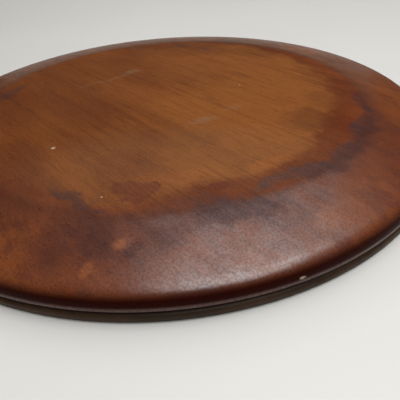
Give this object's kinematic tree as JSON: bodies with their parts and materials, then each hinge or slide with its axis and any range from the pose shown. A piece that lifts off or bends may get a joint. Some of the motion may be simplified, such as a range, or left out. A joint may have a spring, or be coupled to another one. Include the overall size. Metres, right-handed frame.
{
  "type": "lazy susan turntable",
  "caption": "Round wooden serving tray with a sloped rim and rounded edge, turning freely on a hidden square ball bearing over a thin wooden base of equal diameter on low rubber feet.",
  "frame": {"origin": "centre of the resting plane, under the feet, on the spin axis", "axes": "+Z is the spin axis, pointing up out of the tray; +X runs along the grain of the boards; +Y runs across them"},
  "size_m": [0.406, 0.406, 0.0255],
  "materials": {
    "tray_wood": "reddish-brown stain under a worn semi-gloss lacquer",
    "base_wood": "dark brown stain, satin",
    "plated_steel": "zinc-plated pressed sheet",
    "ball_steel": "polished",
    "screw_steel": "zinc-plated",
    "cage_plastic": "moulded nylon",
    "foot_rubber": "matt"
  },
  "bodies": {
    "base": {"base_board_1": "base_wood", "base_board_2": "base_wood", "base_board_3": "base_wood", "base_board_4": "base_wood", "base_board_5": "base_wood", "rubber_foot_1": "foot_rubber", "rubber_foot_2": "foot_rubber", "rubber_foot_3": "foot_rubber", "rubber_foot_4": "foot_rubber", "rubber_foot_5": "foot_rubber", "rubber_foot_6": "foot_rubber", "lower_bearing_plate": "plated_steel", "lower_plate_screws": "screw_steel"},
    "cage": {"ball_cage": "cage_plastic", "bearing_balls": "ball_steel"},
    "tray": {"tray_board_1": "tray_wood", "tray_board_2": "tray_wood", "tray_board_3": "tray_wood", "tray_board_4": "tray_wood", "tray_board_5": "tray_wood", "upper_bearing_plate": "plated_steel", "upper_plate_screws": "screw_steel"}
  },
  "joints": [
    {"name": "tray_spin", "type": "hinge", "parent": "base", "child": "tray", "pos_m": [0, 0, 0.01], "axis": [0, 0, 1], "continuous": true},
    {"name": "cage_spin", "type": "hinge", "parent": "base", "child": "cage", "pos_m": [0, 0, 0.01], "axis": [0, 0, 1], "continuous": true}
  ],
  "couplings": [
    {"joint": "cage_spin", "follows": "tray_spin", "ratio": 0.5}
  ]
}
